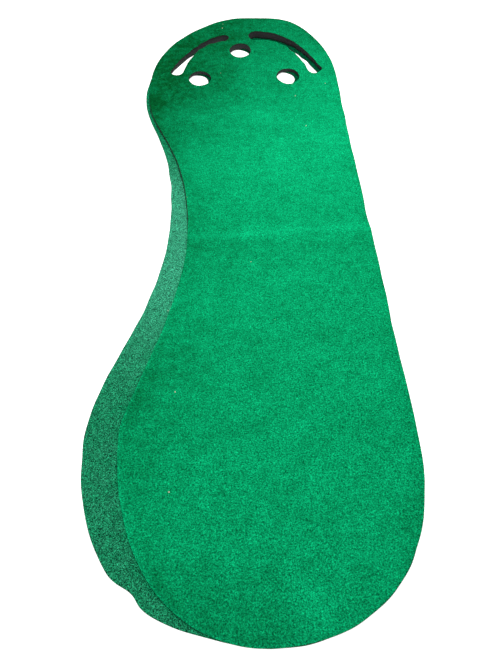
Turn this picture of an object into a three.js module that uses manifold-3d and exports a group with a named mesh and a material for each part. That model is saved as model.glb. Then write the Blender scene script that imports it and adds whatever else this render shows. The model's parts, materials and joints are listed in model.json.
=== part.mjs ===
// Practice putting mat: two kidney-shaped sheets of turf, one laid on the other, with a foam wedge
// between them that lifts the head, three cups and two trap slots cut through, and a fold across.
// Millimetres, +Z up. The origin is on the floor below the middle of the mat; +Y runs to the head.
import * as THREE from "three";
import { mergeVertices } from "three/addons/utils/BufferGeometryUtils.js";
import Module from "manifold-3d";

const wasm = await Module();
wasm.setup();

// ---- Driving dimensions ----

const MAT_LENGTH = 2743; // 9 ft, foot to head
const MAT_WIDTH = 914; // 3 ft, across the belly
const FRINGE_BACKING = 1.5; // non-skid sheet on the floor
const FRINGE_PILE = 2.6; // coarse turf of the lower sheet
const PUTTING_BACKING = 1.5; // latex coat of the upper sheet
const PUTTING_PILE = 2.3; // short turf that the ball rolls on
const GLUE_GAP = 0.3; // between one layer and the next
const RAMP_LENGTH = 640; // from the toe of the foam wedge to the head
const RAMP_RISE = 38; // that the foam gives at the head
const FOAM_TOE = 1; // thickness at which the foam is cut off at its toe
const FOLD_OFFSET = 57; // from the middle of the mat to the fold, towards the foot
const FOLD_GAP = 0.6; // between the two halves
const HEAD_TAPER = 17; // by which the right side closes in towards the head
const HEAD_INSET = 70; // of the head from the widest part of the left side
const WAIST_INSET = 203; // of the waist from the widest part of the left side
const BELLY_FRINGE = 95; // of the lower sheet that shows beside the belly of the upper one
const WAIST_FRINGE = 63; // of the lower sheet that shows beside the waist
const CUP_DIAMETER = 104;
const LEFT_CUP_INSET = 228; // from the left side of the head to the middle of the left cup
const RIGHT_CUP_INSET = 213; // from the right side of the head to the middle of the right cup
const SIDE_CUP_FROM_END = 461; // from the end of the head to the middle of a side cup
const MIDDLE_CUP_FROM_END = 260;
const LOWER_CUT_SHIFT = new THREE.Vector2(-7, -5); // of the cuts in the lower sheet, made by hand

const CURVE_STEPS = 10; // chords in each stretch of an outline
const CUP_CHORDS = 44;
const SLOT_CHORDS = 10; // along each side of a slot, and round each end

// ---- Places worked out from them ----

const HEAD_END = MAT_LENGTH / 2;
const FOOT_END = -MAT_LENGTH / 2;
const RIGHT = MAT_WIDTH / 2;
const LEFT = -MAT_WIDTH / 2;
const HEAD_RIGHT = RIGHT - HEAD_TAPER;
const HEAD_LEFT = LEFT + HEAD_INSET;
const HEAD_CENTRE = (HEAD_LEFT + HEAD_RIGHT) / 2;
const HEAD_HALF_WIDTH = (HEAD_RIGHT - HEAD_LEFT) / 2;
const FOLD_Y = -FOLD_OFFSET;
const RAMP_TOE = HEAD_END - RAMP_LENGTH;

// Underside of each layer where the mat is flat.
const FRINGE_PILE_Z = FRINGE_BACKING + GLUE_GAP;
const FOAM_Z = FRINGE_PILE_Z + FRINGE_PILE + GLUE_GAP;
const PUTTING_BACKING_Z = FOAM_Z;
const PUTTING_PILE_Z = PUTTING_BACKING_Z + PUTTING_BACKING + GLUE_GAP;

// ---- Outlines ----

// An anchor of an outline: a point, the heading in degrees in which an anticlockwise walk passes
// it, and how far the curve keeps to that heading before and after it.
function anchor(x, y, heading, before, after) {
  return { at: new THREE.Vector2(x, y), heading, before, after };
}

function alongHeading(from, distance) {
  const turn = THREE.MathUtils.degToRad(from.heading);
  const step = new THREE.Vector2(Math.cos(turn), Math.sin(turn));
  return from.at.clone().addScaledVector(step, distance);
}

// A closed outline with one cubic curve from each anchor to the next.
function outlineThrough(anchors) {
  return anchors.flatMap((from, i) => {
    const to = anchors[(i + 1) % anchors.length];
    const handles = [alongHeading(from, from.after), alongHeading(to, -to.before)];
    const curve = new THREE.CubicBezierCurve(from.at, ...handles, to.at);
    return curve.getPoints(CURVE_STEPS).slice(0, -1);
  });
}

// Foot, straight right side and head, which the two sheets share. The left side of the foot comes
// in on its own handle.
function sharedEdge(footHandle) {
  return [
    anchor(30, FOOT_END, 0, footHandle, 230),
    anchor(RIGHT, FOOT_END + 514, 90, 377, 500),
    anchor(HEAD_RIGHT, HEAD_END - 590, 90, 500, 188),
    anchor(HEAD_RIGHT - 95, HEAD_END - 133, 120, 186, 150),
    anchor(HEAD_CENTRE - 10, HEAD_END, 180, 181, 75),
    anchor(HEAD_LEFT + 128, HEAD_END - 175, 232, 112, 167),
  ];
}

const fringeOutline = outlineThrough([
  ...sharedEdge(40),
  anchor(HEAD_LEFT, HEAD_END - 569, 270, 102, 240),
  anchor(LEFT + WAIST_INSET, 48, 270, 469, 466), // waist
  anchor(LEFT, FOOT_END + 521, 270, 262, 175), // belly
  anchor(LEFT + 89, FOOT_END + 186, 304, 66, 50), // corner of the lobe beside the foot
  anchor(LEFT + 175, FOOT_END + 114, 295, 48, 86), // end of its shallow notch
]);

const puttingOutline = outlineThrough([
  ...sharedEdge(224),
  anchor(HEAD_LEFT, HEAD_END - 530, 271, 70, 330),
  anchor(LEFT + WAIST_INSET + WAIST_FRINGE, -56, 270, 516, 312), // waist
  anchor(LEFT + BELLY_FRINGE, FOOT_END + 555, 270, 87, 362), // belly
]);

// ---- Cuts through the head ----

function cup(centre) {
  const chord = (2 * Math.PI) / CUP_CHORDS;
  return Array.from({ length: CUP_CHORDS }, (_, i) => {
    const arm = new THREE.Vector2(Math.cos(i * chord), Math.sin(i * chord));
    return arm.multiplyScalar(CUP_DIAMETER / 2).add(centre);
  });
}

// A trap slot: a band bent along a quadratic curve through its inner end, its middle and its outer
// end, narrowest at the middle, with a half-round cap at each end.
function trapSlot({ inner, middle, outer, widths }) {
  const ends = inner.clone().add(outer).divideScalar(2);
  const control = middle.clone().multiplyScalar(2).sub(ends);
  const spine = new THREE.QuadraticBezierCurve(inner, control, outer);
  const [atInner, atMiddle, atOuter] = widths;
  const widthAt = (t) => {
    const pinch = (atInner + atOuter) / 2 - atMiddle;
    return THREE.MathUtils.lerp(atInner, atOuter, t) - 4 * t * (1 - t) * pinch;
  };
  // A point at a bearing from the spine, where 90 degrees is square to its left.
  const rimPoint = (t, bearing) => {
    const arm = spine.getTangent(t).multiplyScalar(widthAt(t) / 2);
    arm.rotateAround(new THREE.Vector2(), THREE.MathUtils.degToRad(bearing));
    return spine.getPoint(t).add(arm);
  };
  const rim = [];
  for (let i = 0; i < SLOT_CHORDS; i++) rim.push(rimPoint(i / SLOT_CHORDS, -90));
  for (let i = 0; i < SLOT_CHORDS; i++) rim.push(rimPoint(1, -90 + (180 * i) / SLOT_CHORDS));
  for (let i = 0; i < SLOT_CHORDS; i++) rim.push(rimPoint(1 - i / SLOT_CHORDS, 90));
  for (let i = 0; i < SLOT_CHORDS; i++) rim.push(rimPoint(0, 90 + (180 * i) / SLOT_CHORDS));
  return rim;
}

// A point of the head, out from its centreline to the left (-1) or right (1), and back from its end.
function fromCentreline(side, across, fromEnd) {
  return new THREE.Vector2(HEAD_CENTRE + side * across, HEAD_END - fromEnd);
}

// A point of the head, in from its left (-1) or right (1) side, and back from its end.
function fromSide(side, inset, fromEnd) {
  return fromCentreline(side, HEAD_HALF_WIDTH - inset, fromEnd);
}

const LEFT_SLOT = {
  inner: fromCentreline(-1, 80, 158),
  middle: fromSide(-1, 215.5, 234),
  outer: fromSide(-1, 127.5, 408),
  widths: [52, 36, 60],
};
const RIGHT_SLOT = {
  inner: fromCentreline(1, 78, 146),
  middle: fromSide(1, 196.5, 208),
  outer: fromSide(1, 91.5, 412),
  widths: [70, 46, 60],
};

const cuts = [
  cup(fromCentreline(0, 0, MIDDLE_CUP_FROM_END)),
  cup(fromSide(-1, LEFT_CUP_INSET, SIDE_CUP_FROM_END)),
  cup(fromSide(1, RIGHT_CUP_INSET, SIDE_CUP_FROM_END)),
  trapSlot(LEFT_SLOT),
  trapSlot(RIGHT_SLOT),
];

// ---- Solids ----

function solidFrom(geometry) {
  geometry.deleteAttribute("normal");
  geometry.deleteAttribute("uv");
  const merged = mergeVertices(geometry, 1e-3);
  const vertProperties = new Float32Array(merged.attributes.position.array);
  const triVerts = new Uint32Array(merged.index.array);
  return new wasm.Manifold(new wasm.Mesh({ numProp: 3, vertProperties, triVerts }));
}

function geometryOf(solid) {
  const mesh = solid.getMesh();
  return new THREE.BufferGeometry()
    .setAttribute("position", new THREE.BufferAttribute(mesh.vertProperties, 3))
    .setIndex(new THREE.BufferAttribute(mesh.triVerts, 1));
}

const ABOVE_ALL = RAMP_RISE + 60;

// A straight-sided block of an outline with the cuts through it, taller than the mat.
function cutBlock(outline, cutShift) {
  const shape = new THREE.Shape(outline);
  shape.holes = cuts.map((rim) => new THREE.Path(rim.map((p) => p.clone().add(cutShift))));
  const block = new THREE.ExtrudeGeometry(shape, { depth: 2 * ABOVE_ALL, bevelEnabled: false });
  return solidFrom(block.translate(0, 0, -ABOVE_ALL));
}

// A band across the whole width with this side profile, given as points along the mat and up.
function profileBand(profile) {
  const shape = new THREE.Shape(profile.map(([y, z]) => new THREE.Vector2(y, z)));
  const band = new THREE.ExtrudeGeometry(shape, { depth: 2 * MAT_WIDTH, bevelEnabled: false });
  // Turn the drawing's axes and its depth to Y, Z and X.
  const toMat = new THREE.Matrix4().makeBasis(
    new THREE.Vector3(0, 1, 0),
    new THREE.Vector3(0, 0, 1),
    new THREE.Vector3(1, 0, 0),
  );
  return solidFrom(band.applyMatrix4(toMat).translate(-MAT_WIDTH, 0, 0));
}

const PAST_END = 50;
const halves = {
  head: [FOLD_Y + FOLD_GAP / 2, HEAD_END + PAST_END],
  foot: [FOOT_END - PAST_END, FOLD_Y - FOLD_GAP / 2],
};

function flatBand(underside, thickness, [from, to]) {
  const top = underside + thickness;
  return profileBand([[from, underside], [to, underside], [to, top], [from, top]]);
}

// A flat layer up to the toe of the ramp, and on up the ramp from there.
function rampBand(underside, thickness, [from, to]) {
  const top = underside + thickness;
  const rise = ((to - RAMP_TOE) / RAMP_LENGTH) * RAMP_RISE;
  return profileBand([
    [from, underside],
    [RAMP_TOE, underside],
    [to, underside + rise],
    [to, top + rise],
    [RAMP_TOE, top],
    [from, top],
  ]);
}

// The foam fills the wedge between the two sheets, less a glue gap under the upper one.
function foamBand() {
  const past = (RAMP_RISE / RAMP_LENGTH) * PAST_END;
  const toe = RAMP_TOE + ((FOAM_TOE + GLUE_GAP) / RAMP_RISE) * RAMP_LENGTH;
  const end = HEAD_END + PAST_END;
  return profileBand([
    [toe, FOAM_Z],
    [end, FOAM_Z],
    [end, FOAM_Z + RAMP_RISE + past - GLUE_GAP],
    [toe, FOAM_Z + FOAM_TOE],
  ]);
}

const fringeBlock = cutBlock(fringeOutline, LOWER_CUT_SHIFT);
const puttingBlock = cutBlock(puttingOutline, new THREE.Vector2());

// ---- The mat ----

const finishes = {
  puttingTurf: { color: 0x0f9a45, roughness: 0.95, metalness: 0 },
  turfBacking: { color: 0x141614, roughness: 0.8, metalness: 0 },
  foam: { color: 0x2a2c2b, roughness: 0.95, metalness: 0 },
  fringeTurf: { color: 0x2f8a55, roughness: 1, metalness: 0 },
  nonSkid: { color: 0x0d0e0d, roughness: 0.7, metalness: 0 },
};

const group = new THREE.Group();

function addPiece(name, solid, finish) {
  const mesh = new THREE.Mesh(geometryOf(solid), new THREE.MeshStandardMaterial(finishes[finish]));
  mesh.name = name;
  group.add(mesh);
}

for (const [half, span] of Object.entries(halves)) {
  const backing = flatBand(0, FRINGE_BACKING, span);
  const fringe = flatBand(FRINGE_PILE_Z, FRINGE_PILE, span);
  addPiece(`fringe_backing_${half}`, fringeBlock.intersect(backing), "nonSkid");
  addPiece(`fringe_turf_${half}`, fringeBlock.intersect(fringe), "fringeTurf");
}

addPiece("foam_ramp", puttingBlock.intersect(foamBand()), "foam");

// The foot half lies wholly before the ramp, so its layers are flat.
const upperBands = { head: rampBand, foot: flatBand };
for (const [half, span] of Object.entries(halves)) {
  const band = upperBands[half];
  const backing = band(PUTTING_BACKING_Z, PUTTING_BACKING, span);
  const turf = band(PUTTING_PILE_Z, PUTTING_PILE, span);
  addPiece(`putting_backing_${half}`, puttingBlock.intersect(backing), "turfBacking");
  addPiece(`putting_turf_${half}`, puttingBlock.intersect(turf), "puttingTurf");
}

export default group;
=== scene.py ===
"""Looks of a practice putting mat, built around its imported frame.

Two kidney-shaped sheets of tufted turf lie one on the other, with a foam wedge between them that
lifts the head. Lengths are metres, +Y runs from the foot to the raised head and +Z is up. The
dataclass fields that end in `_mm` are millimetres, as a cutter would mark them.
"""

import json
import logging
import math
from dataclasses import dataclass
from enum import Enum
from typing import Callable, Sequence

import bpy
import numpy as np
from mathutils import Matrix, Vector
from mathutils.geometry import delaunay_2d_cdt


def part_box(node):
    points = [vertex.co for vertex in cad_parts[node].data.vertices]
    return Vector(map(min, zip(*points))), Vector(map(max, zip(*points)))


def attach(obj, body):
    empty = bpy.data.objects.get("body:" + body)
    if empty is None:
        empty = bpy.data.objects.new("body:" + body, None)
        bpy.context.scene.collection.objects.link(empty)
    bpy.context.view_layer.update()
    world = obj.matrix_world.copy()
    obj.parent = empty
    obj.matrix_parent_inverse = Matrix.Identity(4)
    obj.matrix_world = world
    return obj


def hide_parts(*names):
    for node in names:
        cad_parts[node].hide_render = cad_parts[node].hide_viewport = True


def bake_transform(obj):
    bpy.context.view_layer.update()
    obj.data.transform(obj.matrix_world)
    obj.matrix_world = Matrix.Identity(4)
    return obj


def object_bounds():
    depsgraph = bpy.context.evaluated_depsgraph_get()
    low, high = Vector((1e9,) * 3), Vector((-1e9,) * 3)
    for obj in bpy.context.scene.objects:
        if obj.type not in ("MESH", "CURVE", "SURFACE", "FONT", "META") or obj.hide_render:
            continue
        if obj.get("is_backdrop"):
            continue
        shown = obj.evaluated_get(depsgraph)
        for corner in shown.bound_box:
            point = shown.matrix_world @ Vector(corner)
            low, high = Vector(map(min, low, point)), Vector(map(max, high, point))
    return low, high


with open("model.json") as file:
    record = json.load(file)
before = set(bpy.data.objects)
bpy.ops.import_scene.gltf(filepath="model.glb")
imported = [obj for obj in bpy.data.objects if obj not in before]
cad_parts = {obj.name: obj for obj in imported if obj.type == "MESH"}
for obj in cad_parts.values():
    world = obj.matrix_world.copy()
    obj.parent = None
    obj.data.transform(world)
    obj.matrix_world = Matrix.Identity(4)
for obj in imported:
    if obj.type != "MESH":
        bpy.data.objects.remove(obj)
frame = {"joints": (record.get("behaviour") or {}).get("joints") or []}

log = logging.getLogger("putting_mat")

Array = np.ndarray
Height = Callable[[Array], Array]
MM = 0.001
FLAT_PLACE = "flat_place"  # attribute: where a point lies while the mat is flat
TONE = "tone"  # attribute: how light the pile is painted there, painted light and shade included, 1 at its lightest


class Side(Enum):
    """A side of the mat, seen by a putter who faces the cups."""

    LEFT = -1
    RIGHT = 1


class Slot(Enum):
    """The record's material slots."""

    PUTTING_TURF = "putting_turf"
    FRINGE_TURF = "fringe_turf"
    BACKING = "turf_backing"
    FOAM = "foam"
    NON_SKID = "non_skid"


# ---- Lines and places in plan ----


def cross(a: Array, b: Array) -> Array:
    """The height of the cross product of plan vectors: positive where b lies to the left of a."""
    return a[..., 0] * b[..., 1] - a[..., 1] * b[..., 0]


def arc_lengths(loop: Array) -> Array:
    """Distance along a closed line to each of its points, and last the whole way round.

    Args:
        loop: (n, 2) points of the line.

    Returns:
        n + 1 distances.
    """
    steps = np.linalg.norm(np.roll(loop, -1, 0) - loop, axis=1)
    return np.concatenate([[0.0], np.cumsum(steps)])


def evenly_spaced(loop: Array, spacing: float) -> Array:
    """The same closed line with its points an equal distance apart along it.

    Args:
        loop: (n, 2) points of the line.
        spacing: the distance to aim for.

    Returns:
        (m, 2) points.
    """
    along = arc_lengths(loop)
    closed = np.vstack([loop, loop[:1]])
    count = max(12, round(along[-1] / spacing))
    at = np.arange(count) * along[-1] / count
    return np.stack([np.interp(at, along, closed[:, k]) for k in range(2)], 1)


def signed_area(loop: Array) -> float:
    """The area inside a closed line, negative where it runs clockwise."""
    return float(cross(loop, np.roll(loop, -1, 0)).sum() / 2)


def wound(loop: Array, anticlockwise: bool) -> Array:
    """The loop, turned round if it runs the other way."""
    return loop if (signed_area(loop) > 0) == anticlockwise else loop[::-1]


def outward(loop: Array) -> Array:
    """Unit vectors square to a closed line, to the right of its run.

    An outline that runs anticlockwise and a cut that runs clockwise both have the sheet on their
    left, so for both this points away from the sheet.

    Args:
        loop: (n, 2) points of the line.

    Returns:
        (n, 2) vectors, one at each point.
    """
    run = np.roll(loop, -1, 0) - np.roll(loop, 1, 0)
    square = np.stack([run[:, 1], -run[:, 0]], 1)
    return square / np.maximum(np.linalg.norm(square, axis=1, keepdims=True), 1e-12)


@dataclass(frozen=True)
class Knife:
    """A hand-held knife, which strays from its line by sines of random phase, added up.

    The sines have 1, 2, 3 ... periods round the line, up to one period in each `wave` of it, and
    their sum is scaled to a root mean square of `stray_mm`. The first line has the phases of
    `seed`, the next those of `seed` + 1, and so on.
    """

    stray_mm: float
    wave: float
    seed: int

    def wander(self, loop: Array, seed: int) -> Array:
        """How far the knife strays from a closed line.

        Args:
            loop: the line.
            seed: of the random phases.

        Returns:
            One distance per point, positive to the right of the line's run.
        """
        along = arc_lengths(loop)
        most = max(2, round(along[-1] / self.wave))
        rng = np.random.default_rng(seed)
        phase, weight = rng.uniform(0, 2 * np.pi, most), rng.uniform(0.4, 1, most)
        angle = 2 * np.pi * np.outer(along[:-1] / along[-1], np.arange(1, most + 1)) + phase
        stray = np.sin(angle) @ weight
        return self.stray_mm * MM * stray / np.sqrt(np.mean(stray**2))

    def cut(
        self, loops: Sequence[Array], spacing: float, anticlockwise: bool = False
    ) -> list[Array]:
        """Cuts along closed lines, each moved along its normal by wander().

        Args:
            loops: the lines.
            spacing: distance between the points of a rim.
            anticlockwise: which way the rims run.

        Returns:
            The rims.
        """
        rims = []
        for seed, loop in enumerate(loops, self.seed):
            moved = loop + outward(loop) * self.wander(loop, seed)[:, None]
            rims.append(wound(evenly_spaced(moved, spacing), anticlockwise))
        return rims


def inside_loop(places: Array, loop: Array) -> Array:
    """Whether each place is inside a closed line: a ray from it crosses the line an odd number of
    times.

    Args:
        places: (n, 2) places.
        loop: (m, 2) points of the line.

    Returns:
        n truth values.
    """
    start, end = loop, np.roll(loop, -1, 0)
    x, y = places[:, :1], places[:, 1:2]
    spans = (start[:, 1] > y) != (end[:, 1] > y)
    rise = np.where(start[:, 1] == end[:, 1], 1e-12, end[:, 1] - start[:, 1])
    meets = start[:, 0] + (y - start[:, 1]) / rise * (end[:, 0] - start[:, 0])
    return (spans & (meets > x)).sum(1) % 2 == 1


class DistanceField:
    """Distance from the nearest rim of a sheet, positive on the sheet and negative off it.

    It is worked out on a square lattice and blended between the lattice corners. The distance to
    a chord from a to b is that to a + s (b - a), where s is the share of the chord at which the
    place stands square to it, held from 0 to 1. The side of the nearest chord gives the sign,
    because the rims run with the sheet on their left.
    """

    longest_chord = 0.008

    def __init__(self, rims: Sequence[Array], pitch: float, margin: float = 0.03) -> None:
        """Fills the lattice.

        Args:
            rims: closed lines, the outline anticlockwise and the cuts clockwise.
            pitch: side of a lattice square.
            margin: how far the lattice reaches past the rims.
        """
        spacing, batch = min(pitch, self.longest_chord), 4000
        loops = [evenly_spaced(r, spacing) for r in rims]
        a = np.vstack(loops)
        chord = np.vstack([np.roll(r, -1, 0) for r in loops]) - a
        length2 = (chord**2).sum(1)
        self.low, self.pitch = a.min(0) - margin, pitch
        count = np.ceil((a.max(0) + margin - self.low) / pitch).astype(int) + 1
        x, y = np.meshgrid(*(np.arange(c) for c in count), indexing="ij")
        places = np.stack([x.ravel(), y.ravel()], 1) * pitch + self.low
        found = np.empty(len(places))
        for first in range(0, len(places), batch):
            p = places[first : first + batch]
            along = p @ chord.T - (a * chord).sum(1)
            square = (p**2).sum(1)[:, None] + (a**2).sum(1) - 2 * p @ a.T
            share = np.clip(along / length2, 0, 1)
            square += share * (share * length2 - 2 * along)
            near = square.argmin(1)
            gap = np.sqrt(np.maximum(square[np.arange(len(p)), near], 0))
            found[first : first + batch] = gap * np.sign(cross(chord[near], p - a[near]))
        self.values = found.reshape(count)

    def __call__(self, places: Array) -> Array:
        """The distances at some places, blended between the lattice corners.

        Args:
            places: (n, 2) or (n, 3) places.

        Returns:
            n distances.
        """
        grid = (places[:, :2] - self.low) / self.pitch
        cell = np.clip(np.floor(grid).astype(int), 0, np.array(self.values.shape) - 2)
        u, v = np.clip(grid - cell, 0, 1).T
        i, j = cell.T
        low = self.values[i, j] * (1 - u) + self.values[i + 1, j] * u
        high = self.values[i, j + 1] * (1 - u) + self.values[i + 1, j + 1] * u
        return low * (1 - v) + high * v


def smooth_noise(places: Array, size: float, seed: int) -> Array:
    """Value noise: random heights on a square lattice, blended by smoothstep between its corners.

    Args:
        places: (n, 2) points.
        size: side of a lattice square.
        seed: of the random heights.

    Returns:
        n values from -1 to 1.
    """
    side = 64
    heights = np.random.default_rng(seed).uniform(-1, 1, (side, side))
    grid = places[:, :2] / size
    cell = np.floor(grid).astype(int)
    part = grid - cell
    u, v = (part * part * (3 - 2 * part)).T
    i, j = (cell % side).T
    i2, j2 = (i + 1) % side, (j + 1) % side
    low = heights[i, j] * (1 - u) + heights[i2, j] * u
    high = heights[i, j2] * (1 - u) + heights[i2, j2] * u
    return low * (1 - v) + high * v


def bump(x: Array, middle: float, reach: float) -> Array:
    """A bell of height 1: exp of minus the squared distance from the middle over reach."""
    return np.exp(-(((x - middle) / reach) ** 2))


def step(x: Array, low: Array | float, high: Array | float) -> Array:
    """Smoothstep: 0 before low, 1 past high, and an S-curve between them."""
    t = np.clip((x - low) / (high - low), 0, 1)
    return t * t * (3 - 2 * t)


# ---- The mat's shape ----


@dataclass(frozen=True)
class Anchor:
    """A point of an outline in mm, the heading in degrees of an anticlockwise walk past it, and
    how far the curve keeps to that heading before and after it."""

    x: float
    y: float
    heading: float
    before: float
    after: float


def curve_through(anchors: Sequence[Anchor], spacing: float) -> Array:
    """A closed outline with one cubic Bezier curve from each anchor to the next.

    Each curve is the sum of its four control points weighted by (1-t)^3, 3t(1-t)^2, 3t^2(1-t)
    and t^3, where the inner two lie along the anchors' headings.

    Args:
        anchors: in order, anticlockwise.
        spacing: distance between the points of the result, in metres.

    Returns:
        (n, 2) points in metres.
    """
    at = np.array([[a.x, a.y] for a in anchors])
    turn = np.radians([a.heading for a in anchors])
    run = np.stack([np.cos(turn), np.sin(turn)], 1)
    after = at + run * np.array([[a.after] for a in anchors])
    before = at - run * np.array([[a.before] for a in anchors])
    t = np.linspace(0, 1, 240, endpoint=False)[None, :, None]
    controls = [at, after, np.roll(before, -1, 0), np.roll(at, -1, 0)]
    weights = [(1 - t) ** 3, 3 * t * (1 - t) ** 2, 3 * t**2 * (1 - t), t**3]
    curve = sum(w * c[:, None] for w, c in zip(weights, controls))
    return evenly_spaced(curve.reshape(-1, 2) * MM, spacing)


@dataclass(frozen=True)
class TrapSlot:
    """A band along a quadratic curve through an inner, a middle and an outer point, in mm.

    Its width runs evenly from end to end, less a pinch that is deepest at the middle, and each
    end is half round.
    """

    inner: tuple[float, float]
    middle: tuple[float, float]
    outer: tuple[float, float]
    widths: tuple[float, float, float]

    def rim(self) -> Array:
        """The slot's rim: each point lies half the width from the spine, square to it along the
        sides and round a half circle at the ends.

        Returns:
            (n, 2) points in metres, anticlockwise.
        """
        inner, middle, outer = (np.array(p) for p in (self.inner, self.middle, self.outer))
        control = 2 * middle - (inner + outer) / 2
        side, cap = np.linspace(0, 1, 60, endpoint=False), np.zeros(24)
        round_end = np.linspace(0, 180, 24, endpoint=False)
        t = np.concatenate([side, cap + 1, 1 - side, cap])[:, None]
        bearing = np.concatenate([side * 0 - 90, round_end - 90, side * 0 + 90, round_end + 90])
        spine = (1 - t) ** 2 * inner + 2 * t * (1 - t) * control + t**2 * outer
        run = 2 * (1 - t) * (control - inner) + 2 * t * (outer - control)
        turn = np.arctan2(run[:, 1], run[:, 0]) + np.radians(bearing)
        first, mid, last = self.widths
        pinch = 4 * t[:, 0] * (1 - t[:, 0]) * ((first + last) / 2 - mid)
        half = (first + (last - first) * t[:, 0] - pinch) / 2
        return (spine + np.stack([np.cos(turn), np.sin(turn)], 1) * half[:, None]) * MM


@dataclass(frozen=True)
class Layer:
    """Underside and top of one layer where the mat is flat, in metres."""

    under: float
    top: float

    @classmethod
    def of_node(cls, node: str) -> "Layer":
        """The layer that a CAD node of the flat foot half fills."""
        low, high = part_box(node)
        return cls(low.z, high.z)


@dataclass(frozen=True)
class MatShape:
    """Sizes that all the layers share, in mm where the name says so, and in metres from the CAD."""

    foot_end: float
    head_end: float
    left: float
    right: float
    fold: float
    head_taper_mm: float = 17
    head_inset_mm: float = 70
    waist_inset_mm: float = 203
    belly_fringe_mm: float = 95
    waist_fringe_mm: float = 63
    ramp_length_mm: float = 640
    ramp_rise_mm: float = 38
    toe_roundness_mm: float = 30
    cup_mm: float = 104
    left_cup_inset_mm: float = 228
    right_cup_inset_mm: float = 213
    side_cup_from_end_mm: float = 461
    middle_cup_from_end_mm: float = 260
    rim_spacing_mm: float = 3.6
    cut_spacing_mm: float = 2.6
    crease_slope: float = 0.032
    crease_right: float = 0.13
    wave_mm: float = 0.4
    ridge_mm: float = 1.9
    hollow_mm: float = 0.5
    drawn_above_crease_mm: float = 3.2
    drawn_belly_mm: float = 4.6
    bend_before_mm: float = 3
    bend_after_mm: float = 46

    @classmethod
    def of_frame(cls) -> "MatShape":
        """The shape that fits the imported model: its box, and where its fold runs.

        Returns:
            The shape.
        """
        low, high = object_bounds()
        fold = next(j["pos_m"][1] for j in frame["joints"] if j["type"] == "hinge")
        return cls(low.y, high.y, low.x, high.x, fold)

    @property
    def ramp_toe(self) -> float:
        """Where the upper sheet starts to climb."""
        return self.head_end - self.ramp_length_mm * MM

    def _head(self) -> tuple[float, float, float, float]:
        """The head's sides.

        Returns:
            Left side, right side, centreline and half width, in mm.
        """
        left = self.left / MM + self.head_inset_mm
        right = self.right / MM - self.head_taper_mm
        return left, right, (left + right) / 2, (right - left) / 2

    def _shared_edge(self, foot_handle: float) -> list[Anchor]:
        """Foot, straight right side and head, which the two sheets share.

        Args:
            foot_handle: how far the outline keeps level before the foot's lowest point.

        Returns:
            The anchors, anticlockwise from the foot.
        """
        foot, head, side = self.foot_end / MM, self.head_end / MM, self.right / MM
        left, right, centre, _ = self._head()
        return [
            Anchor(30, foot, 0, foot_handle, 224),
            Anchor(side, foot + 514, 90, 370, 500),
            Anchor(right, head - 590, 90, 500, 188),
            Anchor(right - 95, head - 133, 120, 186, 150),
            Anchor(centre - 10, head, 180, 181, 75),
            Anchor(left + 128, head - 175, 232, 112, 167),
        ]

    def fringe_outline(self) -> Array:
        """Outline of the lower sheet, with the notched lobe beside its foot.

        Returns:
            (n, 2) points in metres, anticlockwise.
        """
        foot, head, side = self.foot_end / MM, self.head_end / MM, self.left / MM
        anchors = self._shared_edge(40) + [
            Anchor(self._head()[0], head - 569, 270, 102, 240),
            Anchor(side + self.waist_inset_mm, 48, 270, 469, 466),
            Anchor(side, foot + 521, 270, 262, 165),
            Anchor(side + 93, foot + 184, 304, 66, 54),
            Anchor(side + 175, foot + 110, 300, 44, 80),
        ]
        return self.drawn_in(curve_through(anchors, self.rim_spacing_mm * MM))

    def drawn_in(self, outline: Array) -> Array:
        """The outline with its right side pulled in where the sheet has dried crooked: bells just
        above the crease and along the belly.

        Args:
            outline: (n, 2) points.

        Returns:
            The moved points.
        """
        x, y = outline.T
        above = self.drawn_above_crease_mm * bump(y, 0.03, 0.06)
        above *= step(y, self.fold, self.fold + 0.03)
        belly = self.drawn_belly_mm * bump(y, -0.52, 0.11)
        return np.stack([x - (above + belly) * MM * (x > 0), y], 1)

    def putting_outline(self) -> Array:
        """Outline of the upper sheet, which leaves the fringe to show along the left side.

        Returns:
            (n, 2) points in metres, anticlockwise.
        """
        foot, head, side = self.foot_end / MM, self.head_end / MM, self.left / MM
        waist = side + self.waist_inset_mm + self.waist_fringe_mm
        anchors = self._shared_edge(224) + [
            Anchor(self._head()[0] + 14.6, head - 574, 271, 159, 260),
            Anchor(waist, -49, 270, 498, 328),
            Anchor(side + self.belly_fringe_mm, foot + 555, 270, 87, 362),
        ]
        return self.drawn_in(curve_through(anchors, self.rim_spacing_mm * MM))

    def on_head(self, side: Side, across: float, from_end: float) -> tuple[float, float]:
        """A point of the head in mm, out from its centreline and back from its end."""
        return self._head()[2] + side.value * across, self.head_end / MM - from_end

    def from_side(self, side: Side, inset: float, from_end: float) -> tuple[float, float]:
        """A point of the head in mm, in from one of its sides and back from its end."""
        return self.on_head(side, self._head()[3] - inset, from_end)

    def cups(self) -> list[Array]:
        """Rims of the three cups, which the knife left slightly oval: cosine times half the
        width, sine times half the length.

        Returns:
            The middle, the left and the right rim.
        """
        turn = np.linspace(0, 2 * np.pi, 160, endpoint=False)
        circle = np.stack([np.cos(turn), np.sin(turn)], 1) * self.cup_mm / 2
        from_end = self.side_cup_from_end_mm
        places = (
            (self.on_head(Side.LEFT, 3, self.middle_cup_from_end_mm), (0.93, 1.06)),
            (self.from_side(Side.LEFT, self.left_cup_inset_mm, from_end + 2), (0.94, 1.0)),
            (self.from_side(Side.RIGHT, self.right_cup_inset_mm, from_end - 1), (0.95, 1.07)),
        )
        return [(circle * ovalness + centre) * MM for centre, ovalness in places]

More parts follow.
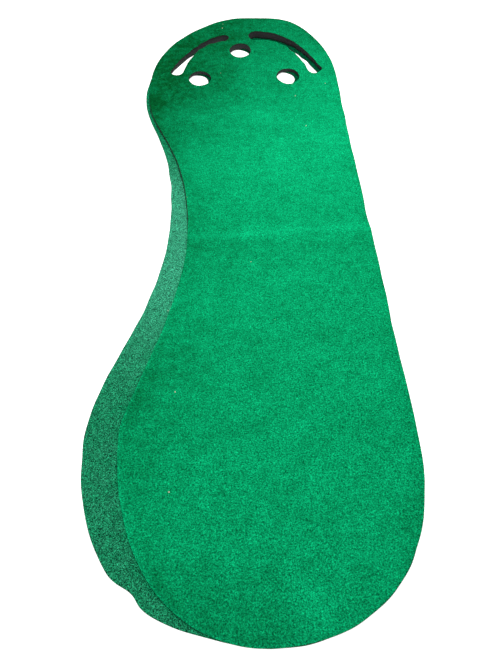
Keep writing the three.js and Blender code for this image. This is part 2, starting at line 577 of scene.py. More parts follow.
    def slots(self) -> list[Array]:
        """The trap slots behind the cups.

        Returns:
            Rims of the left and the right one, in metres.
        """
        return [
            TrapSlot(
                self.on_head(Side.LEFT, 80, 161),
                self.from_side(Side.LEFT, 215.5, 240),
                self.from_side(Side.LEFT, 127.5, 408),
                (54, 29, 58),
            ).rim(),
            TrapSlot(
                self.on_head(Side.RIGHT, 74, 148),
                self.from_side(Side.RIGHT, 196.5, 212),
                self.from_side(Side.RIGHT, 91.5, 412),
                (76, 54, 60),
            ).rim(),
        ]

    def rise(self, y: Array) -> Array:
        """How far the wedge has lifted the upper sheet at y.

        With t the distance past the toe and w its roundness, this is the ramp's slope times
        (t + sqrt(t^2 + w^2)) / 2, which is flat before the toe, the full slope past it, and
        rounded between.

        Args:
            y: places along the mat.

        Returns:
            Heights in metres.
        """
        past = y - self.ramp_toe
        rounded = (past + np.sqrt(past**2 + (self.toe_roundness_mm * MM) ** 2)) / 2
        return rounded * self.ramp_rise_mm / self.ramp_length_mm

    def past_crease(self, places: Array) -> Array:
        """How far each place is past the crease, which runs a little askew of the fold."""
        return places[:, 1] - self.fold - (places[:, 0] - self.crease_right) * self.crease_slope

    def lie(self, places: Array) -> Array:
        """How far both sheets stand off the floor: long low waves, and at the crease a ridge with
        a hollow before it.

        Args:
            places: (n, 2) places.

        Returns:
            Heights in metres.
        """
        past = self.past_crease(places)
        waves = self.wave_mm * (1 + smooth_noise(places, 0.32, 3))
        ridge = self.ridge_mm * bump(past + 3 * MM * smooth_noise(places, 0.16, 4), 0.001, 0.009)
        hollow = self.hollow_mm * bump(past, -0.034, 0.024)
        return (waves + ridge + self.hollow_mm - hollow) * MM

    def bend(self, piece: bpy.types.Object) -> None:
        """Bakes a piece's placement into its mesh; it does not bend the piece at the fold.

        Args:
            piece: whose placement is baked.
        """
        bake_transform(piece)


# ---- Meshes ----


@dataclass
class Mesh:
    """Points and triangles of a piece, and what its material reads at each point."""

    points: Array
    faces: Array
    tone: Array
    smooth: bool = True

    def build(self, name: str) -> bpy.types.Object:
        """Puts the arrays into a new object at the origin.

        Args:
            name: of the object and its mesh.

        Returns:
            The object.
        """
        data = bpy.data.meshes.new(name)
        data.vertices.add(len(self.points))
        data.vertices.foreach_set("co", self.points.astype(np.float32).ravel())
        data.loops.add(self.faces.size)
        data.loops.foreach_set("vertex_index", self.faces.astype(np.int32).ravel())
        data.polygons.add(len(self.faces))
        data.polygons.foreach_set("loop_start", np.arange(len(self.faces), dtype=np.int32) * 3)
        data.update(calc_edges=True)
        data.polygons.foreach_set("use_smooth", np.full(len(self.faces), self.smooth))
        place = data.attributes.new(FLAT_PLACE, "FLOAT_VECTOR", "POINT")
        place.data.foreach_set("vector", self.points.astype(np.float32).ravel())
        tone = data.attributes.new(TONE, "FLOAT", "POINT")
        tone.data.foreach_set("value", self.tone.astype(np.float32))
        data.validate()
        piece = bpy.data.objects.new(name, data)
        bpy.context.scene.collection.objects.link(piece)
        log.info("%s: %d triangles", name, len(self.faces))
        return piece


def spread_spots(low: Array, high: Array, pitch: float, seed: int) -> Array:
    """Places over a rectangle in staggered rows, each shaken by up to a fifth of the pitch.

    Args:
        low: corner of the rectangle with the least x and y.
        high: the opposite corner.
        pitch: distance between neighbours.
        seed: of the shaking.

    Returns:
        (n, 2) places.
    """
    rows = np.arange(low[1], high[1], pitch * math.sqrt(3) / 2)
    columns = np.arange(low[0], high[0], pitch)
    x, y = np.meshgrid(columns, rows)
    x = x + (np.arange(len(rows)) % 2 * pitch / 2)[:, None]
    shake = np.random.default_rng(seed).uniform(-0.2, 0.2, (x.size, 2)) * pitch
    return np.stack([x.ravel(), y.ravel()], 1) + shake


def triangulated(rims: Sequence[Array], spots: Array) -> tuple[Array, Array]:
    """Triangles over a sheet that keep its rims as edges, with no face in its cuts.

    Args:
        rims: closed lines, the outline first.
        spots: places inside.

    Returns:
        The places, rims first and in order, and the triangles, facing up.
    """
    places = np.vstack([*rims, spots])
    starts = np.cumsum([0] + [len(r) for r in rims[:-1]])
    edges = np.vstack([
        np.stack([np.arange(len(r)), (np.arange(len(r)) + 1) % len(r)], 1) + first
        for r, first in zip(rims, starts)
    ])
    made = delaunay_2d_cdt(places, edges, [], 2, 1e-7)
    if len(made[0]) != len(places):
        raise ValueError("a rim crosses itself or another")
    faces = np.array(made[2])
    kept = np.ones(len(faces), bool)
    for rim, first in zip(rims[1:], starts[1:]):
        across = np.flatnonzero(((faces >= first) & (faces < first + len(rim))).all(1))
        kept[across] = ~inside_loop(places[faces[across]].mean(1), rim)
    faces = faces[kept]
    a, b, c = (places[faces[:, k]] for k in range(3))
    area = cross(b - a, c - a)
    faces[area < 0] = faces[area < 0][:, ::-1]
    return places, faces


@dataclass(frozen=True)
class EdgeProfile:
    """Side profile of a sheet's edge: for each row from the underside up, how far it stands out
    in mm, and its share of the thickness."""

    out_mm: tuple[float, ...]
    share: tuple[float, ...]


PLAIN_EDGE = EdgeProfile((0, 0), (0, 1))
PILE_EDGE = EdgeProfile((0, 0.35, 0.3, -0.7), (0, 0.4, 0.75, 0.97))


@dataclass
class SheetPlan:
    """A sheet in plan: its rims, and how densely its faces are laid out."""

    rims: list[Array]
    field: DistanceField
    fold: float
    top_pitch: float
    under_pitch: float = 14 * MM
    fold_pitch: float = 4.5 * MM
    dense: Callable[[Array], Array] | None = None
    dense_pitch: float = 2.2 * MM
    fold_band: tuple[float, float] = (58 * MM, 22 * MM)
    band_gap: float = 2 * MM
    shoulder: float = 0.8 * MM
    rim_share: float = 0.55

    def spots(self, rims: list[Array], pitch: float, dense: bool, seed: int) -> Array:
        """Places inside the rims: coarse, closer at the fold, and closest where it shows.

        Args:
            rims: that the places stay within.
            pitch: of the coarse places.
            dense: whether the part that shows is closer.
            seed: of their shaking.

        Returns:
            (n, 2) places.
        """
        low, high = rims[0].min(0), rims[0].max(0)
        coarse = spread_spots(low, high, pitch, seed)
        sets = [(coarse, pitch)]
        if pitch > self.fold_pitch * 1.3:
            from_fold = coarse[:, 1] - self.fold
            before, after = self.fold_band
            outside = (from_fold < -before - self.band_gap) | (from_fold > after + self.band_gap)
            sets = [(coarse[outside], pitch)]
            corner = np.array([low[0], self.fold - before]), np.array([high[0], self.fold + after])
            sets.append((spread_spots(*corner, self.fold_pitch, seed + 1), self.fold_pitch))
        if dense and self.dense:
            sets = [(s[~self.dense(s)], p) for s, p in sets]
            fine = spread_spots(low, high, self.dense_pitch, seed + 2)
            sets.append((fine[self.dense(fine)], self.dense_pitch))
        clear = self.rim_share, self.shoulder
        return np.vstack([s[self.field(s) > clear[0] * p + clear[1]] for s, p in sets])


def closed_sheet(
    plan: SheetPlan, under: Height, top: Height, edge: EdgeProfile, tone: Height, seed: int
) -> Mesh:
    """A sheet with a top, an underside and an edge all round each rim.

    The two faces are triangulated in plan and lifted to their heights. Between them, the edge is
    a grid: the rim's points by the rows of the profile.

    Args:
        plan: the sheet's rims and the density of its faces.
        under: height of the underside at each place.
        top: height of the top.
        edge: profile of the edge.
        tone: lightness of the pile at each place.
        seed: of the shaking of the faces' points.

    Returns:
        The closed mesh.
    """
    rows = [[rim + outward(rim) * out * MM for rim in plan.rims] for out in edge.out_mm]
    low_places, low_faces = triangulated(
        rows[0], plan.spots(rows[0], plan.under_pitch, False, seed)
    )
    top_places, top_faces = triangulated(
        rows[-1], plan.spots(rows[-1], plan.top_pitch, True, seed + 10)
    )
    around = sum(len(r) for r in plan.rims)
    middle = [np.vstack(row) for row in rows[1:-1]]
    places = np.vstack([low_places, *middle, top_places])
    share = np.concatenate(
        [np.zeros(len(low_places))]
        + [np.full(around, s) for s in edge.share[1:-1]]
        + [np.full(around, edge.share[-1]), np.ones(len(top_places) - around)]
    )
    floor, roof = under(places), top(places)
    height = floor + (roof - floor) * share
    # Index of the first rim point of each row.
    first = [0] + [len(low_places) + around * i for i in range(len(middle) + 1)]
    starts = np.cumsum([0] + [len(r) for r in plan.rims[:-1]])
    after = np.concatenate([
        (np.arange(len(r)) + 1) % len(r) + s for r, s in zip(plan.rims, starts)
    ])
    here = np.arange(around)
    walls = [
        np.vstack([
            np.stack([here + a, after + a, after + b], 1),
            np.stack([here + a, after + b, here + b], 1),
        ])
        for a, b in zip(first[:-1], first[1:])
    ]
    faces = np.vstack([low_faces[:, ::-1], *walls, top_faces + first[-1]])
    points = np.column_stack([places, height])
    return Mesh(points, faces, tone(places))


def blades(roots: Array, tips: Array, width: Array, tone: Array, seed: int) -> Mesh:
    """Fibres as slim closed pyramids: three corners round each root, turned at random, and a tip.

    Args:
        roots: (n, 3) places where the fibres leave the sheet.
        tips: (n, 3) places where they end.
        width: distance from the root to a base corner, per fibre.
        tone: lightness, per fibre.
        seed: of the turning.

    Returns:
        One mesh of four faces for each fibre.
    """
    count = len(roots)
    turn = np.random.default_rng(seed).uniform(0, 2 * np.pi, count)[:, None]
    angle = turn + np.array([0, 2 * np.pi / 3, 4 * np.pi / 3])
    ring = np.stack([np.cos(angle), np.sin(angle), np.zeros_like(angle)], 2)
    base = roots[:, None] + ring * width[:, None, None]
    points = np.concatenate([base, tips[:, None]], 1).reshape(-1, 3)
    corners = np.array([[0, 1, 3], [1, 2, 3], [2, 0, 3], [2, 1, 0]])
    faces = (np.arange(count)[:, None, None] * 4 + corners).reshape(-1, 3)
    return Mesh(points, faces, np.repeat(tone, 4), smooth=False)


# ---- Shader nodes ----


class Nodes:
    """Makes and joins the nodes of one tree."""

    def __init__(self, tree: bpy.types.NodeTree) -> None:
        """Starts on a tree.

        Args:
            tree: of a material, a world or a group.
        """
        self.tree = tree

    def add(self, kind: str, settings: dict | None = None, **inputs: object) -> bpy.types.Node:
        """Adds a node.

        Args:
            kind: its type, without the ShaderNode at the front.
            settings: its own properties by name.
            **inputs: for each socket, with underscores for spaces, a value or another socket.

        Returns:
            The node.
        """
        node = self.tree.nodes.new("ShaderNode" + kind)
        for name, value in (settings or {}).items():
            setattr(node, name, value)
        for name, value in inputs.items():
            self.join(node, int(name[1:]) if name[1:].isdigit() else name.replace("_", " "), value)
        return node

    def join(self, node: bpy.types.Node, socket: str | int, value: object) -> None:
        """Links a socket to another, or sets its value.

        Args:
            node: whose socket it is.
            socket: its name or index.
            value: another socket, or what to set.
        """
        if isinstance(value, bpy.types.NodeSocket):
            self.tree.links.new(value, node.inputs[socket])
        else:
            node.inputs[socket].default_value = value

    def math(self, operation: str, a: object, b: object = 0.0) -> bpy.types.NodeSocket:
        """The result of a Math node on one or two values."""
        return self.add("Math", {"operation": operation}, i0=a, i1=b).outputs[0]

    def mix(self, factor: object, a: object, b: object) -> bpy.types.NodeSocket:
        """A mix of two colours.

        Args:
            factor: 0 for all a, 1 for all b.
            a: a colour or socket.
            b: the other.

        Returns:
            The mixed colour.
        """
        node = self.add("Mix", {"data_type": "RGBA"})
        for index, value in ((0, factor), (6, a), (7, b)):
            self.join(node, index, value)
        return node.outputs[2]

    def noise(self, place: object, size: object, detail: float = 0.0) -> bpy.types.NodeSocket:
        """Noise whose features are about size across."""
        scale = self.math("DIVIDE", 1.0, size) if not isinstance(size, float) else 1 / size
        return self.add("TexNoise", Vector=place, Scale=scale, Detail=detail).outputs[0]


def new_group(name: str, inputs: dict[str, object], outputs: dict[str, str]) -> tuple[
    bpy.types.NodeTree, Nodes, dict[str, bpy.types.NodeSocket], bpy.types.Node
]:
    """Starts a shader node group.

    Args:
        name: of the group.
        inputs: default value of each input; a 3-tuple is a vector and a 4-tuple a colour.
        outputs: socket type of each output.

    Returns:
        The group, its node maker, its input sockets by name, and its output node.
    """
    tree = bpy.data.node_groups.new(name, "ShaderNodeTree")
    kinds = {3: "NodeSocketVector", 4: "NodeSocketColor"}
    for key, value in inputs.items():
        kind = kinds[len(value)] if isinstance(value, tuple) else "NodeSocketFloat"
        socket = tree.interface.new_socket(key, in_out="INPUT", socket_type=kind)
        socket.default_value = value
    for key, kind in outputs.items():
        tree.interface.new_socket(key, in_out="OUTPUT", socket_type=kind)
    source, sink = tree.nodes.new("NodeGroupInput"), tree.nodes.new("NodeGroupOutput")
    return tree, Nodes(tree), {s.name: s for s in source.outputs if s.name}, sink


def pile_group() -> bpy.types.NodeTree:
    """Tufted pile, from the lie of a whole patch down to single fibre ends.

    The lie is the tone, which carries the painted light and shade, plus each broad noise about its
    middle times its strength: nap lines that run across the mat, blotches and patches. The colour
    runs from the darker to the lighter of the two pile colours by the lie, and is then multiplied
    by the grain. The grain is the square of 1 plus half the fibre and tuft noises about their
    middles times their strengths, so that a few fibre ends stand out bright, as painted glints. A
    lie below 0 stands for painted shade from a wall: the grain is then also multiplied by 1 plus
    the lie. Lint lies in the middle of some cells of a grid.

    Returns:
        The group.
    """
    nap_size, blotch_size, patch_size = 0.017, 0.022, 0.11
    darkest_grain, darkest_shade = 0.2, 0.1
    lint_cells_per_m, lint_share, lint_clouds, lint_gate = 16.0, 0.035, 0.19, 0.54
    inputs = {
        "Place": (0.0, 0.0, 0.0), "Tone": 1.0, "Fibre Size": 0.002, "Fibre": 0.5,
        "Tuft Size": 0.005, "Tuft": 0.4, "Nap": 0.1, "Blotch": 0.2, "Patch": 0.1, "Lint": 0.5,
        "Leaning": (0, 0.1, 0.05, 1), "Upright": (0, 0.4, 0.2, 1),
        "Lint Colour": (0.6, 0.6, 0.42, 1),
    }  # fmt: skip
    outputs = {"Colour": "NodeSocketColor", "Height": "NodeSocketFloat"}
    tree, n, given, out = new_group("pile", inputs, outputs)
    place = given["Place"]

    def about_middle(value: object, strength: object) -> bpy.types.NodeSocket:
        """A noise less its middle value, times a strength."""
        return n.math("MULTIPLY", n.math("SUBTRACT", value, 0.5), strength)

    fibre = n.noise(place, given["Fibre Size"])
    tuft = n.noise(place, given["Tuft Size"], 1.0)
    stretched = n.add("VectorMath", {"operation": "MULTIPLY"}, i0=place, i1=(0.14, 1.0, 1.0))
    # The lie starts from the tone, which carries the painted light and shade.
    lie = given["Tone"]
    for value, strength in (
        (n.noise(stretched.outputs[0], nap_size, 1.0), given["Nap"]),
        (n.noise(place, blotch_size, 2.0), given["Blotch"]),
        (n.noise(place, patch_size, 2.0), given["Patch"]),
    ):
        lie = n.math("ADD", lie, about_middle(value, strength))
    grain = n.math("ADD", about_middle(fibre, given["Fibre"]), about_middle(tuft, given["Tuft"]))
    grain = n.math("ADD", n.math("MULTIPLY", grain, 0.5), 1.0)
    grain = n.math("MAXIMUM", grain, darkest_grain)
    # Squared, so that the fibre-to-fibre tone has a few bright ends, painted glints.
    grain = n.math("POWER", grain, 2.0)
    # Painted shade from a wall where the lie is below 0: it darkens the grain too.
    shade = n.math("ADD", n.math("MINIMUM", lie, 0.0), 1.0)
    shade = n.math("MAXIMUM", shade, darkest_shade)
    grain = n.math("MULTIPLY", grain, shade)
    # The darker colour serves for lying pile and painted shade, the lighter for standing pile and
    # painted light.
    colour = n.mix(lie, given["Leaning"], given["Upright"])
    colour = n.add("VectorMath", {"operation": "SCALE"}, i0=colour, Scale=grain).outputs[0]
    speck = n.add("TexVoronoi", Vector=place, Scale=lint_cells_per_m).outputs["Distance"]
    near = n.math("LESS_THAN", speck, lint_share)
    some = n.math("GREATER_THAN", n.noise(place, lint_clouds), lint_gate)
    lint = n.math("MULTIPLY", n.math("MULTIPLY", near, some), given["Lint"])
    n.join(out, "Colour", n.mix(lint, colour, given["Lint Colour"]))
    n.join(out, "Height", n.math("ADD", n.math("MULTIPLY", fibre, 0.5), tuft))
    return tree


def rubbed_group() -> bpy.types.NodeTree:
    """Matt black rubber or foam: fine grit, larger cells, and pale dust in soft clouds.

    The colour runs from the base to the dust by the clouds, and the height adds the grit to the
    cells.

    Returns:
        The group.
    """
    inputs = {
        "Place": (0.0, 0.0, 0.0), "Grit Size": 0.001, "Cell Size": 0.003, "Cells": 0.5,
        "Dust": 0.3, "Base": (0.02, 0.02, 0.02, 1), "Dust Colour": (0.1, 0.1, 0.1, 1),
    }  # fmt: skip
    outputs = {"Colour": "NodeSocketColor", "Height": "NodeSocketFloat", "Wear": "NodeSocketFloat"}
    tree, n, given, out = new_group("rubbed", inputs, outputs)
    place = given["Place"]
    grit = n.noise(place, given["Grit Size"], 1.0)
    scale = n.math("DIVIDE", 1.0, given["Cell Size"])
    cell = n.add("TexVoronoi", Vector=place, Scale=scale).outputs["Distance"]
    cells = n.math("MULTIPLY", cell, given["Cells"])
    cloud = n.noise(place, 0.06, 3.0)
    wear = n.math("MULTIPLY", n.math("ADD", cloud, n.math("SUBTRACT", grit, 0.6)), given["Dust"])
    wear = n.math("MAXIMUM", wear, 0.0)
    n.join(out, "Colour", n.mix(wear, given["Base"], given["Dust Colour"]))
    n.join(out, "Height", n.math("ADD", n.math("MULTIPLY", grit, 0.5), cells))
    n.join(out, "Wear", wear)
    return tree


class Groups:
    """The shared node groups, each built once."""

    def __init__(self) -> None:
        """Builds them."""
        self.pile = pile_group()
        self.rubbed = rubbed_group()


def start_material(name: str) -> tuple[bpy.types.Material, Nodes, bpy.types.Node]:
    """A new material with a Principled shader.

    Args:
        name: of the material.

    Returns:
        The material, its node maker and the shader.
    """
    material = bpy.data.materials.new(name)
    material.use_nodes = True
    n = Nodes(material.node_tree)
    return material, n, material.node_tree.nodes["Principled BSDF"]


def place_group(n: Nodes, group: bpy.types.NodeTree, values: dict[str, object]) -> bpy.types.Node:
    """Places a shared group in a material's tree, reading the piece's flat place.

    Args:
        n: node maker of the material.
        group: the shared group.
        values: a value or socket for each of its inputs but the place.

    Returns:
        The group's node.
    """
    node = n.tree.nodes.new("ShaderNodeGroup")
    node.node_tree = group
    place = n.add("Attribute", {"attribute_name": FLAT_PLACE}).outputs["Vector"]
    for key, value in {"Place": place, **values}.items():
        n.join(node, key, value)
    return node


def raise_surface(n: Nodes, shader: bpy.types.Node, height: object, depth: float) -> None:
    """Gives a shader a bump of that depth in metres."""
    made = n.add("Bump", Strength=1.0, Distance=depth, Height=height)
    n.join(shader, "Normal", made.outputs[0])


@dataclass(frozen=True)
class TurfFinish:
    """Tufted polypropylene pile, in linear colours."""

    name: str
    # The darker colour stands for pile that lies over and for painted shade, the lighter one for
    # standing pile and for painted light.
    leaning_and_shaded: tuple[float, float, float]
    upright_and_lit: tuple[float, float, float]
    fibre_mm: float
    fibre: float
    tuft_mm: float
    tuft: float
    nap: float
    blotch: float
    patch: float
    lint: float
    bump_mm: float

    def material(self, groups: Groups) -> bpy.types.Material:
        """Builds the material.

        Args:
            groups: the shared node groups.

        Returns:
            The material.
        """
        material, n, shader = start_material(self.name)
        tone = n.add("Attribute", {"attribute_name": TONE}).outputs["Fac"]
        pile = place_group(n, groups.pile, {
            "Tone": tone, "Fibre Size": self.fibre_mm * MM, "Fibre": self.fibre,
            "Tuft Size": self.tuft_mm * MM, "Tuft": self.tuft, "Nap": self.nap,
            "Blotch": self.blotch, "Patch": self.patch, "Lint": self.lint,
            "Leaning": (*self.leaning_and_shaded, 1), "Upright": (*self.upright_and_lit, 1),
        })  # fmt: skip
        n.join(shader, "Base Color", pile.outputs["Colour"])
        n.join(shader, "Roughness", 1.0)
        n.join(shader, "Specular IOR Level", 0.0)
        raise_surface(n, shader, pile.outputs["Height"], self.bump_mm * MM)
        return material


@dataclass(frozen=True)
class RubberFinish:
    """Matt black latex or foam, in linear colours."""

    name: str
    base: tuple[float, float, float]
    dust: tuple[float, float, float]
    dustiness: float
    grit_mm: float
    cell_mm: float
    cells: float
    bump_mm: float
    roughness: float
    gloss: float

    def material(self, groups: Groups) -> bpy.types.Material:
        """Builds the material.

        Args:
            groups: the shared node groups.

        Returns:
            The material.
        """
        material, n, shader = start_material(self.name)
        rubbed = place_group(n, groups.rubbed, {
            "Grit Size": self.grit_mm * MM, "Cell Size": self.cell_mm * MM,
            "Cells": self.cells, "Dust": self.dustiness,
            "Base": (*self.base, 1), "Dust Colour": (*self.dust, 1),
        })  # fmt: skip
        n.join(shader, "Base Color", rubbed.outputs["Colour"])
        rough = n.math("ADD", n.math("MULTIPLY", rubbed.outputs["Wear"], 0.3), self.roughness)
        n.join(shader, "Roughness", rough)
        n.join(shader, "Specular IOR Level", self.gloss)
        raise_surface(n, shader, rubbed.outputs["Height"], self.bump_mm * MM)
        return material


PUTTING_TURF = TurfFinish(
    "short putting turf", (0.0012, 0.085, 0.020), (0.0030, 0.50, 0.199),
    fibre_mm=2.7, fibre=2.0, tuft_mm=4.8, tuft=1.8, nap=0.15, blotch=0.46, patch=0.28, lint=0.9,
    bump_mm=0.6,
)  # fmt: skip
# Its lighter colour is greyed by painted sheen.
FRINGE_TURF = TurfFinish(
    "coarse fringe turf", (0.0008, 0.153, 0.057), (0.0447, 0.324, 0.189),
    fibre_mm=2.1, fibre=4.2, tuft_mm=3.6, tuft=2.3, nap=0.1, blotch=0.4, patch=0.2, lint=0.4,
    bump_mm=0.9,
)  # fmt: skip
LATEX = RubberFinish(
    "latex backing", (0.018, 0.020, 0.019), (0.05, 0.055, 0.05),
    dustiness=0.4, grit_mm=0.8, cell_mm=3.2, cells=0.8, bump_mm=0.25, roughness=0.75, gloss=0.15,
)  # fmt: skip
FOAM = RubberFinish(
    "charcoal foam", (0.024, 0.026, 0.026), (0.06, 0.065, 0.065),
    dustiness=0.5, grit_mm=0.9, cell_mm=1.9, cells=0.9, bump_mm=0.4, roughness=0.9, gloss=0.1,
)  # fmt: skip
NON_SKID = RubberFinish(
    "non-skid latex", (0.010, 0.011, 0.010), (0.045, 0.047, 0.045),
    dustiness=0.8, grit_mm=0.8, cell_mm=4.0, cells=1.2, bump_mm=0.3, roughness=0.62, gloss=0.3,
)  # fmt: skip


# ---- The pile's tone: painted light and shade, and other tone ----

Profile = Callable[[Array], Array]


def everywhere(x: Array) -> Array:
    """The profile that is 1 all over."""
    return np.ones(len(x))


def bell(middle: float, reach: float) -> Profile:
    """A profile as bump() gives it."""
    return lambda x: bump(x, middle, reach)


def slope(low: float, high: float) -> Profile:
    """A profile as step() gives it, which falls instead of rising where low is past high."""
    return lambda x: step(x, low, high)


@dataclass(frozen=True)
class Shade:
    """An area of pile painted lighter or darker, for painted light and shade as well as other tone:
    an amount times a profile across the mat, one along it, and exp of minus the distance from the
    outline over a reach."""

    amount: float
    across: Profile = everywhere
    along: Profile = everywhere
    rim_reach: float = math.inf

    def at(self, places: Array, from_rim: Array) -> Array:
        """What the area adds.

        Args:
            places: (n, 2) places.
            from_rim: their distances from the outline.

        Returns:
            What to add to the lightness of each.
        """
        near = np.exp(-from_rim / self.rim_reach)
        return self.amount * self.across(places[:, 0]) * self.along(places[:, 1]) * near


def shaded(places: Array, from_rim: Array, plain: float, shades: Sequence[Shade]) -> Array:
    """The plain lightness plus every shade."""
    return plain + sum(shade.at(places, from_rim) for shade in shades)


ON_RAMP = slope(0.30, 0.68)
ON_HEAD = slope(0.66, 0.90)
HEAD_END = slope(1.0, 1.2)
END_RIGHT = slope(-0.15, 0.05)

PUTTING_SHADES = (
    # Painted shade on the head, which tilts towards the camera: less on its right, and more at its
    # end, most along the rim.
    Shade(-0.20, along=ON_HEAD),
    Shade(0.15, slope(-0.06, 0.12), ON_HEAD),
    Shade(-0.054, along=HEAD_END),
    Shade(-0.066, END_RIGHT, HEAD_END),
    Shade(-0.072, along=HEAD_END, rim_reach=0.06),
    Shade(-0.088, END_RIGHT, HEAD_END, 0.06),
    # Lighter along the left rim of the head, easing the painted shade of the left side there.
    Shade(0.28, slope(0.45, -0.04), slope(0.76, 0.84), 0.06),
    # Painted light and shade where the sheet bends over the toe of the ramp.
    Shade(-0.07, slope(0.13, 0.03), bell(0.72, 0.05)),
    Shade(0.08, slope(0.3, 0.15), bell(0.63, 0.06)),
    Shade(0.06, bell(0.12, 0.09), bell(0.68, 0.08)),
    # Darker along every rim, more at the right of the belly, with a thin light line at its left.
    Shade(-0.05, rim_reach=0.03),
    Shade(-0.04, slope(-0.12, 0.20), slope(-0.1, -0.4), 0.08),
    Shade(0.28, slope(0.20, -0.12), slope(-0.2, -0.5), 0.005),
    # Lighter areas before the ramp and at the foot, and a darker one beside the one at the foot.
    Shade(0.07, bell(0.35, 0.25), bell(0.48, 0.22)),
    Shade(0.11, bell(0.11, 0.08), bell(-1.30, 0.07)),
    Shade(-0.09, bell(-0.01, 0.09), bell(-1.26, 0.08)),
)
# How deep the painted shade on the left side is: amounts times profiles along the mat.
LEFT_DEPTHS = (
    (0.20, everywhere), (-0.15, bell(-0.3, 0.16)), (-0.12, bell(-1.07, 0.12)),
    (0.36, ON_RAMP), (0.08, bell(-0.7, 0.12)), (-0.07, bell(-0.04, 0.06)),
)  # fmt: skip
# Painted sheen at the waist, where it is seen along its fibres, and painted shadow towards the
# head and close to the upper sheet's edge.
FRINGE_SHADES = (
    Shade(0.47, along=slope(-0.75, -0.2)),
    Shade(-0.55, along=slope(0.1, 0.5)),
    Shade(-0.1, rim_reach=0.012),
)


# ---- Sub-assemblies ----


@dataclass(frozen=True)
class LayerSpec:
    """One layer: its piece, the CAD nodes that it stands for, its finish and what it lies on."""

    piece: str
    nodes: tuple[str, str]
    slot: Slot
    finish: TurfFinish | RubberFinish
    rests_on: tuple[str, ...]

    @property
    def flat(self) -> Layer:
        """Its underside and top, from the CAD node of the flat foot half."""
        return Layer.of_node(self.nodes[1])


@dataclass(frozen=True)
class Tufts:
    """How uneven the top of a pile is: random heights plus smooth noise, up to a highest."""

    random_mm: float
    smooth_mm: float
    size: float
    highest_mm: float
    noise_seed: int
    random_seed: int


@dataclass
class TurfSheet:
    """A pile and the backing that it is tufted into, cut together."""

    shape: MatShape
    pile: LayerSpec
    backing: LayerSpec
    tufts: Tufts
    mesh_seed: int
    outline_knife: Knife
    sink_mm: float = 0.0
    layer_gap_mm: float = 0.04
    coarse_pitch_mm: float = 14

    def base(self, places: Array) -> Array:
        """Height that both layers add to their own."""
        return self.shape.lie(places)

    def tone(self, places: Array) -> Array:
        """How light the pile stands."""
        raise NotImplementedError

    def backing_rims(self) -> list[Array]:
        """Rims of the backing."""
        return self.rims

    def lay_out_pile(self, plan: SheetPlan) -> None:
        """Sets how densely the faces of the pile's top are laid out."""
        raise NotImplementedError

    def cut(self, outline: Array, cuts: list[Array]) -> None:
        """Keeps the sheet's rims, and how far each place is from them.

        Args:
            outline: the outline to cut along.
            cuts: the rims of the cups and slots, already cut.
        """
        self.rims = self.outline_knife.cut([outline], self.shape.rim_spacing_mm * MM, True) + cuts
        self.field = DistanceField(self.rims, 6 * MM)

    def at(self, height: float) -> Height:
        """A smooth surface at that height over the base."""
        return lambda places: self.base(places) + height

    def pile_top(self) -> Height:
        """The tips of the pile.

        Returns:
            Their height at each place, with new random tufts at each call.
        """
        tufts, top = self.tufts, self.pile.flat.top
        rng = np.random.default_rng(tufts.random_seed)

        def tips(places: Array) -> Array:
            """The base and the layer's top, plus the tufts.

            Args:
                places: (n, 2) places.

            Returns:
                Heights in metres.
            """
            uneven = tufts.random_mm * rng.standard_normal(len(places))
            uneven += tufts.smooth_mm * smooth_noise(places, tufts.size, tufts.noise_seed)
            return self.base(places) + top + np.minimum(uneven, tufts.highest_mm) * MM

        return tips

    def build(self, groups: Groups) -> list[bpy.types.Object]:
        """Builds both layers.

        Args:
            groups: the shared node groups.

        Returns:
            The backing and the turf.
        """
        pile, backing = self.pile.flat, self.backing.flat
        pitch = self.coarse_pitch_mm * MM
        plan = SheetPlan(self.backing_rims(), self.field, self.shape.fold, pitch)
        under, top = backing.under - self.sink_mm * MM, pile.under - self.layer_gap_mm * MM
        layer, tone, seed = (self.at(under), self.at(top)), self.tone, self.mesh_seed
        sheet = closed_sheet(plan, *layer, PLAIN_EDGE, tone, seed)
        made = [self.finished(sheet, self.backing, groups)]
        plan.rims = self.rims
        self.lay_out_pile(plan)
        layer = self.at(pile.under), self.pile_top()
        sheet = closed_sheet(plan, *layer, PILE_EDGE, tone, seed + 20)
        return made + [self.finished(sheet, self.pile, groups)]

    def finished(self, sheet: Mesh, layer: LayerSpec, groups: Groups) -> bpy.types.Object:
        """Makes a layer's piece, gives it its finish, bakes its placement, and hides the CAD nodes
        that it stands for.

        Args:
            sheet: its closed mesh.
            layer: what it is.
            groups: the shared node groups.

        Returns:
            The piece.
        """
        piece = sheet.build(layer.piece)
        piece.data.materials.append(layer.finish.material(groups))
        self.shape.bend(piece)
        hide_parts(*layer.nodes)
        flat = tuple(np.ptp(self.rims[0], axis=0))
        area = sum(signed_area(r) for r in self.rims)
        list(layer.rests_on)
        return piece


